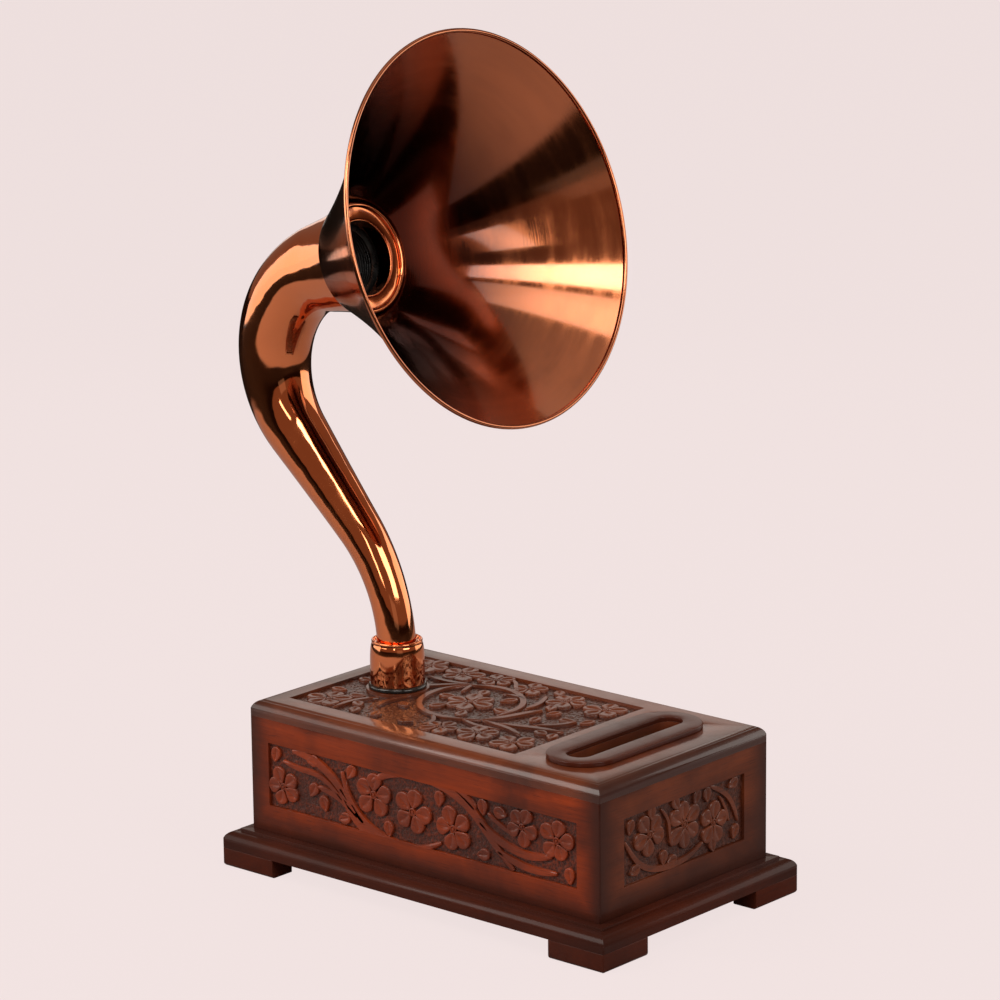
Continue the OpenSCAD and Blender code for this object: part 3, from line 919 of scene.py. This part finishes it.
def carve_top(carver):
    """Flowers down both long edges round a ring of vine with one large flower"""
    carver.ground(-61, 61, -60.5, 125.5)
    carver.flower(4, 33, 16.5, 30, 6)
    for u, v, turn in (
            (-13, 44, 150), (6, 53, 100), (24, 39, 20), (-17, 21, 200), (2, 6, 265), (22, 16, -30)):
        carver.bud_at(u, v, 12, turn, 0.72)
    for u, v, radius, turn in (
            (-46, 107, 14.5, 20), (48, 106, 14.5, 60), (47, 77, 14.5, 10), (-47, 12, 12.5, 70),
            (-42, -14, 14, 30), (-43, -44, 14, 60), (50, 51, 12, 40), (49, 22, 12, 20),
            (43, -14, 13.5, 60), (43, -44, 14, 20)):
        carver.flower(u, v, radius, turn)
    for u, v, turn in (
            (-53, 78, 30), (-42, 85, 60), (-52, 62, 10), (-26, 116, 100), (-30, 97, 120),
            (0, 117, 90), (22, 118, 80), (28, 100, 60), (-50, 38, 100), (18, -24, -20), (26, -15, 30),
            (1, -23, 10), (-17, -44, 80), (-19, -54, 20), (17, -52, -20), (12, -40, 100), (53, 1, 40),
            (-25, 62, 60)):
        carver.bud_at(u, v, 11, turn, 0.74)
    for route in (
            (4.6, (33, 57), (22, 66), (3, 67), (-15, 60), (-27, 46), (-31, 30), (-27, 14), (-20, 2)),
            (5.0, (-20, 2), (-6, -6), (8, -9), (19, -14)),
            (4.6, (-17, -1), (-4, 0), (14, -1), (28, 8), (38, 22), (41, 38), (36, 52), (30, 60)),
            (3.6, (-30, 34), (-36, 26), (-44, 22), (-52, 24)),
            (3.4, (-26, 12), (-30, 2), (-31, -8), (-28, -20)),
            (3.8, (-20, 1), (-21, -14), (-23, -26), (-29, -37)),
            (4.4, (-20, -8), (-15, -24), (-10, -38), (-8, -54)),
            (3.6, (-9, -30), (-2, -38), (6, -44), (14, -46)),
            (4.0, (14, -4), (24, -4), (34, -2), (44, 4)),
            (3.4, (40, 24), (46, 32), (53, 36), (58, 44)),
            (4.0, (34, 56), (30, 68), (29, 80), (31, 92)),
            (3.4, (32, 60), (24, 70), (16, 76), (12, 80)),
            (3.4, (18, 52), (26, 54), (33, 57)),
            (3.0, (30, 28), (34, 18), (30, 10)),
            (3.6, (-8, 72), (-20, 74), (-30, 76), (-38, 72)),
            (3.4, (-58, 92), (-46, 93), (-34, 92), (-24, 84))):
        carver.vine(*route)


def carve_side(carver):
    """Three flowers in an eye of vine, and a branch of flowers at each end; u runs back to front"""
    carver.ground(-126, 126, -20.2, 20.2)
    for u, v, radius, turn in (
            (-37, 4.5, 14.5, 85), (-5, 0, 14.5, 75), (28, -4, 14, 110), (-114, -6, 12.5, 40),
            (83, 9, 12, 60), (110, 6, 13, 80)):
        carver.flower(u, v, radius, turn)
    for u, v, turn in (
            (-56, 15, 60), (-25, -15, 100), (17, 13, 90), (52, 15, 100), (52, -15, 10),
            (-62, -16, 20), (-88, -3, 60), (-79, -10, 110), (-120, 14, 80), (120, -14, 100),
            (-88, 16, 10), (66, 14, 170)):
        carver.bud_at(u, v, 10.5, turn, 0.8)
    for route in (
            (5.6, (-64, 14), (-60, 0), (-50, -12), (-36, -20), (-16, -24), (4, -23), (18, -15)),
            (9, (-66, 4), (-58, -8), (-48, -18), (-36, -25)),
            (7, (-40, 12), (-28, 20), (-8, 25), (14, 24), (36, 17), (50, 6), (62, -8), (76, -20)),
            (8, (20, 26), (34, 22), (46, 12)),
            (6.4, (-58, -4), (-66, 4), (-76, 12), (-90, 19), (-106, 19)),
            (4, (-62, -6), (-74, 5), (-88, 9), (-102, 8), (-114, 11)),
            (5, (-50, -14), (-60, -6), (-72, -1), (-84, 0)),
            (6, (48, 6), (60, -2), (76, -7), (92, -9), (106, -5)),
            (5.4, (62, -10), (76, -14), (92, -17), (110, -15)),
            (3.6, (56, 12), (66, 6), (78, 2))):
        carver.vine(*route)


def carve_end(carver):
    """Three flowers under an arch of vine, with round leaves in the corners"""
    carver.ground(-57.2, 57.2, -21, 21)
    for u, v, radius, turn, petals in (
            (-33, 5, 14, 50, 5), (0, 3, 15.5, 30, 6), (28, -3, 13.5, 80, 5)):
        carver.flower(u, v, radius, turn, petals)
    for u, v, turn in (
            (-51, 14, 70), (-47, -14, 20), (-20, -13, 80), (22, 16, 90), (47, 17, 20), (49, -14, 60),
            (27, -17, 100), (-31, 18, 90), (12, 17, 60), (-8, 18, 120), (-12, -17, 10)):
        carver.bud_at(u, v, 10, turn, 0.8)
    for route in (
            (4.0, (24, 21), (38, 15), (47, 5), (52, -8)),
            (4.6, (-56, 6), (-50, -4), (-40, -14), (-26, -19), (-8, -20), (8, -18), (18, -13)),
            (3.0, (-22, 18), (-14, 10), (-15, 0), (-12, -8)),
            (2.6, (34, 12), (40, 4), (43, -6))):
        carver.vine(*route)


# ---------------------------------------------------------------- operators

class SharedEffects(bpy.types.Operator):
    """Build the node groups that several materials use"""

    bl_idname = "horn.shared_effects"
    bl_label = "Shared effects"

    def execute(self, context):
        make_wood_grain()
        make_smoke()
        make_handling()
        make_spun_rings()
        return {"FINISHED"}


class WoodenBox(bpy.types.Operator):
    """Ease the edges of the box's panels, top and slot plate, and lacquer them"""

    bl_idname = "horn.wooden_box"
    bl_label = "Wooden box"

    def execute(self, context):
        look = settings("wood_look")
        low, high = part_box("top_board")
        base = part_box("side_panel_left")[0][2]
        # Painted shade: the walls darken towards the upright corners, towards their foot by the plinth
        # and in a band under the top arris; the top darkens towards its ends
        upright = corner_ranges(low, high, 23.4 * MM)
        foot_of_wall = ("Z", base + 24 * MM, base - 4 * MM)
        top_of_wall = ("Z", high[2] - 14 * MM, high[2] - 5 * MM)
        sides = painted_edge_shade([upright[2], upright[3], foot_of_wall, top_of_wall])
        ends = painted_edge_shade([upright[0], upright[1], foot_of_wall, top_of_wall])
        for node, early, along, shading, slot in (
                ("side_panel_left", look.red, "Y", sides, "side_wood"),
                ("side_panel_right", look.red, "Y", sides, "side_wood"),
                ("end_panel_front", look.brown, "X", ends, "end_wood"),
                ("end_panel_back", look.brown, "X", ends, "end_wood"),
                ("top_board", look.brown, "Y", painted_edge_shade(upright[2:]), "top_wood"),
                ("slot_plate", blend_colour(look.red, look.dark, 0.85), "X", None, "plate_wood")):
            piece = eased(node + "_finished", [node], 0.5 * MM)
            coat = 0.5 if node == "top_board" else 0.24
            paint = lacquered(node.replace("_", " "), early, look.dark, along, shading, coat)
            give(piece, paint, "cabinet")
        return {"FINISHED"}


class Plinth(bpy.types.Operator):
    """Ease the edges of the plinth rails and the feet, and lacquer them"""

    bl_idname = "horn.plinth"
    bl_label = "Plinth and feet"

    def execute(self, context):
        look = settings("wood_look")
        deep = blend_colour(look.red, look.dark, 0.86)
        low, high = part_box("plinth_rail_left")[0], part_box("plinth_rail_right")[1]
        # Painted shade: the rails darken towards the corners of the plinth
        corners = corner_ranges(low, high, 60 * MM)
        painted_shades = {"X": painted_edge_shade(corners[:2]), "Y": painted_edge_shade(corners[2:])}
        for side, along in (("front", "X"), ("back", "X"), ("left", "Y"), ("right", "Y")):
            paint = lacquered("plinth " + side, deep, look.dark, along, painted_shades[along], 0.14)
            rail = eased("plinth_" + side, ["plinth_rail_" + side], 0.35 * MM)
            give(rail, paint, "cabinet")
        paint = lacquered("feet", deep, look.dark, "X", None, 0.12)
        for corner in ("front_left", "front_right", "back_left", "back_right"):
            foot = eased("bracket_foot_" + corner, ["foot_" + corner], 0.5 * MM)
            give(foot, paint, "cabinet")
        return {"FINISHED"}


class Carvings(bpy.types.Operator):
    """Carve the flowers and vines of the top, the sides and the ends"""

    bl_idname = "horn.carvings"
    bl_label = "Carvings"

    def execute(self, context):
        look = settings("wood_look")
        depth = settings("carving_sizes").depth
        for name, pattern, early, axis, side, slot in (
                ("top_carving", carve_top, look.brown, "Z", 1, "top_wood"),
                ("side_carving_left", carve_side, look.red, "X", -1, "side_wood"),
                ("side_carving_right", carve_side, look.red, "X", 1, "side_wood"),
                ("end_carving_front", carve_end, look.brown, "Y", -1, "end_wood"),
                ("end_carving_back", carve_end, look.brown, "Y", 1, "end_wood")):
            carver = Carver(name)
            pattern(carver)
            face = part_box("top_board")[side > 0]["XYZ".index(axis)]
            # The painted shade of each carving runs from half its depth down to near its floor
            paint = carved(name.replace("_", " "), early, look.dark, face - side * 0.5 * depth,
                           face - side * 0.95 * depth, axis)
            carver.lay(field_place(axis, side, face - side * depth), paint)
        return {"FINISHED"}


class Inside(bpy.types.Operator):
    """Finish the base, the blocks, the phone rest, the bush and the screws"""

    bl_idname = "horn.inside"
    bl_label = "Inside pieces"

    def execute(self, context):
        wood = bare_wood()
        steel = plain_metal("Zinc steel", (0.56, 0.56, 0.57, 1), 0.3)
        brass = plain_metal("Turned brass", (0.72, 0.50, 0.22, 1), 0.25)
        repaint(wood, "base_board", "corner_blocks", "phone_rest")
        repaint(steel, "base_screws", "bush_screws")
        repaint(brass, "socket_bush")
        return {"FINISHED"}


class NeckFoot(bpy.types.Operator):
    """Turn the rubber ring and the copper collar"""

    bl_idname = "horn.neck_foot"
    bl_label = "Ring and collar"

    def execute(self, context):
        foot = settings("horn_sizes").foot_radius
        outer, tall, axis = round_seat("rubber_ring")
        inner = foot + 0.1 * MM
        bead = tall / 2
        outline = [(inner, 0), *arc((outer - bead, bead), bead, -90, 90, 16), (inner, tall), (inner, 0)]
        ring = turned("neck_ring", outline, 96, axis)
        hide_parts("rubber_ring")
        give(ring, black_rubber("Ring rubber", 0.12), "turning_ring")

        radius, tall, axis = round_seat("collar")
        edge = 0.5 * MM
        taper = 1.5 * MM
        bead = 0.7 * MM
        lip = radius - taper
        seam = foot + 0.35 * MM
        shelf = tall - 1.2 * MM
        outline = [(foot, 0), (radius - edge, 0), *arc((radius - edge, edge), edge, -60, 0, 4),
                   (radius, 0.5 * tall)]
        outline += [(lip + taper * math.cos(a), 0.5 * tall + 0.43 * tall * math.sin(a))
                    for a in (math.radians(d) for d in range(8, 85, 8))]
        outline += arc((lip - 0.3 * MM, tall - bead), bead, 0, 180, 12)
        outline += [(seam + 2 * bead, shelf - 0.5 * MM), (seam + 0.5 * MM, shelf - 0.7 * MM),
                    (seam, shelf), (foot, shelf), (foot, 0)]
        collar = turned("neck_collar", outline, 128, axis)
        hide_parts("collar")
        give(collar, polished_copper(), "horn")
        return {"FINISHED"}


class Neck(bpy.types.Operator):
    """Draw the curved neck along its bends"""

    bl_idname = "horn.neck"
    bl_label = "Curved neck"

    def execute(self, context):
        path = NeckPath()
        sizes = settings("horn_sizes")
        stations, corners = 120, 72
        stop = path.length - 0.6 * MM
        nothing_selected()
        start = path.point(0)
        bpy.ops.mesh.primitive_circle_add(vertices=corners, radius=path.radius(0), location=start)
        neck = settle(christen("neck_tube"))
        edit()
        for i in range(stations):
            here, there = stop * i / stations, stop * (i + 1) / stations
            step = path.point(there) - path.point(here)
            bpy.ops.mesh.extrude_region_move(TRANSFORM_OT_translate={"value": step})
            turn = path.heading(there) - path.heading(here)
            bpy.ops.transform.rotate(value=turn, orient_axis="X", center_override=path.point(there))
            grow = path.radius(there) / path.radius(here)
            bpy.ops.transform.resize(value=(grow, grow, grow), center_override=path.point(there))
        bpy.ops.mesh.select_all(action="SELECT")
        bpy.ops.mesh.normals_make_consistent(inside=False)
        bpy.ops.object.mode_set(mode="OBJECT")
        finish_modifier(neck, "SOLIDIFY", thickness=sizes.wall, offset=-1.0)
        smooth(neck, 40)
        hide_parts("gooseneck")
        give(neck, polished_copper(), "horn")
        repaint(polished_copper(), "neck_spigot", "neck_end_plate")
        return {"FINISHED"}


class Bell(bpy.types.Operator):
    """Spin the bell, roll its rim, turn the throat ring, and paint the washer and the coupling"""

    bl_idname = "horn.bell"
    bl_label = "Bell"

    def execute(self, context):
        sizes = settings("horn_sizes")
        place = bell_frame()
        depth, wall = sizes.bell_depth, sizes.wall
        copper = spun_copper()
        count = 60
        outer = [(bell_radius(depth * i / count), depth * i / count) for i in range(count + 1)]
        inner = [(r - 1.25 * wall, s) for r, s in outer]
        bell = turned("bell_shell", [*outer, *reversed(inner), outer[0]], 192, place)
        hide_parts("bell")
        give(bell, copper, "bell_body")

        wire = sizes.wire
        mouth = bell_radius(depth)
        roll = turned("rim_roll", arc((mouth, depth + 0.8 * wire), wire, 0, 360, 20), 192, place)
        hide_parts("rim_wire")
        give(roll, copper, "bell_body")

        stem = 24.4 * MM
        seat = 0.4 * MM
        face = seat + 1 * MM
        tail = seat - 8 * MM
        reach = bell_radius(seat) - 1.3 * wall
        curl = 1.6 * MM
        outline = [(stem, seat), (reach, seat), (reach, face)]
        outline += arc((reach - curl, face + 0.6 * curl), curl, 0, 200, 16)
        outline += [(reach - 2.6 * curl, face + 0.25 * MM), (stem + 2.2 * MM, face + 0.1 * MM),
                    (stem + 0.6 * MM, face + 0.5 * MM)]
        outline += arc((stem - 0.45 * MM, face + 1.0 * MM), 0.55 * MM, 20, 180, 8)
        outline += [(stem - 1 * MM, tail), (stem, tail), (stem, seat)]
        throat = turned("throat_lip", outline, 128, place)
        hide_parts("throat_ring")
        give(throat, polished_copper(), "bell_body")

        repaint(black_rubber("Black plastic", 0.25), "threaded_coupling")
        repaint(black_rubber("Washer rubber", 0.5), "bell_washer")
        return {"FINISHED"}


def softbox(name, aim, azimuth, elevation, distance, width, height, glow):
    """A softbox seen from the aim at an azimuth and elevation in degrees; glow is its radiance"""
    a, e = math.radians(azimuth), math.radians(elevation)
    away = Vector((math.sin(a) * math.cos(e), -math.cos(a) * math.cos(e), math.sin(e)))
    nothing_selected()
    bpy.ops.object.light_add(type="AREA", location=Vector(aim) + away * distance)
    light = bpy.context.active_object
    light.name = name
    light.rotation_mode = "QUATERNION"
    light.rotation_quaternion = away.to_track_quat("Z", "Y")
    light.data.shape = "RECTANGLE"
    light.data.size, light.data.size_y = width, height
    light.data.energy = glow * math.pi * width * height
    light.data.color = (1, 0.97, 0.92)
    light.visible_camera = False
    return light


class Stage(bpy.types.Operator):
    """Lay the floor, hang the softboxes and set up the camera"""

    bl_idname = "horn.stage"
    bl_label = "Stage"

    def execute(self, context):
        look = settings("stage_settings")
        nothing_selected()
        bpy.ops.mesh.primitive_plane_add(size=30)
        floor = christen("floor")
        floor.data.materials.append(floor_paint())

        target = Vector(look.target)
        ahead = Vector((math.cos(look.elevation) * math.sin(look.azimuth),
                        math.cos(look.elevation) * math.cos(look.azimuth), -math.sin(look.elevation)))
        level = Vector((math.cos(look.azimuth), -math.sin(look.azimuth), 0))
        upright = level.cross(ahead)
        right = math.cos(look.roll) * level + math.sin(look.roll) * upright
        up = math.cos(look.roll) * upright - math.sin(look.roll) * level
        spot = target - ahead * look.distance
        bpy.ops.object.camera_add()
        camera = bpy.context.active_object
        camera.name = "camera"
        camera.matrix_world = Matrix(((right.x, up.x, -ahead.x, spot.x),
                                      (right.y, up.y, -ahead.y, spot.y),
                                      (right.z, up.z, -ahead.z, spot.z), (0, 0, 0, 1)))
        camera.data.lens = look.lens
        camera.data.clip_end = 100
        context.scene.camera = camera

        world = context.scene.world or bpy.data.worlds.new("Studio")
        context.scene.world = world
        world.use_nodes = True
        background = world.node_tree.nodes["Background"]
        background.inputs["Color"].default_value = look.room
        background.inputs["Strength"].default_value = 1.0

        bell = middle("bell")
        box = middle("top_board")
        # name, aimed at, azimuth, elevation, distance, width, height, glow
        for lamp in (
                ("window", bell, -60.5, 17, 3.2, 0.32, 1.1, 5.0),
                ("front box", bell, -52, 45, 2.2, 1.1, 0.45, 8.0),
                ("front box skirt", bell, -52, 64, 2.2, 1.1, 0.7, 2.6),
                ("left box", target, -118, 34, 1.8, 1.1, 1.3, 4.5),
                ("front fill", target, -4, 26, 2.4, 1.2, 1.2, 4.8),
                ("ceiling", target, 60, 78, 1.9, 2.0, 2.0, 0.32),
                ("right card", target, 66, 6, 2.0, 1.7, 1.4, 1.6),
                ("left card", target, -152, 6, 2.0, 1.7, 1.6, 1.5),
                ("room glow", bell, -36, -4, 3.4, 1.4, 1.2, 0.16),
                ("back card", box, 134, 14, 1.6, 0.9, 0.5, 0.75)):
            softbox(*lamp)
        context.scene.view_settings.view_transform = "Standard"
        return {"FINISHED"}


class HornPanel(bpy.types.Panel):
    """The steps that build the horn loudspeaker"""

    bl_idname = "VIEW3D_PT_horn"
    bl_label = "Horn loudspeaker"
    bl_space_type = "VIEW_3D"
    bl_region_type = "UI"
    bl_category = "Horn"

    def draw(self, context):
        column = self.layout.column(align=True)
        for step in STEPS:
            column.operator(step.bl_idname)


GROUPS = {"horn_sizes": HornSizes, "carving_sizes": CarvingSizes, "wood_look": WoodLook,
          "copper_look": CopperLook, "stage_settings": StageSettings}
STEPS = (SharedEffects, WoodenBox, Plinth, Carvings, Inside, NeckFoot, Neck, Bell, Stage)


def register():
    for kind in (*GROUPS.values(), *STEPS, HornPanel):
        bpy.utils.register_class(kind)
    for name, kind in GROUPS.items():
        setattr(bpy.types.Scene, name, PointerProperty(type=kind))


def unregister():
    for name in GROUPS:
        delattr(bpy.types.Scene, name)
    for kind in reversed((*GROUPS.values(), *STEPS, HornPanel)):
        bpy.utils.unregister_class(kind)


def main():
    register()
    for step in STEPS:
        family, action = step.bl_idname.split(".")
        getattr(getattr(bpy.ops, family), action)()


if __name__ == "__main__":
    main()
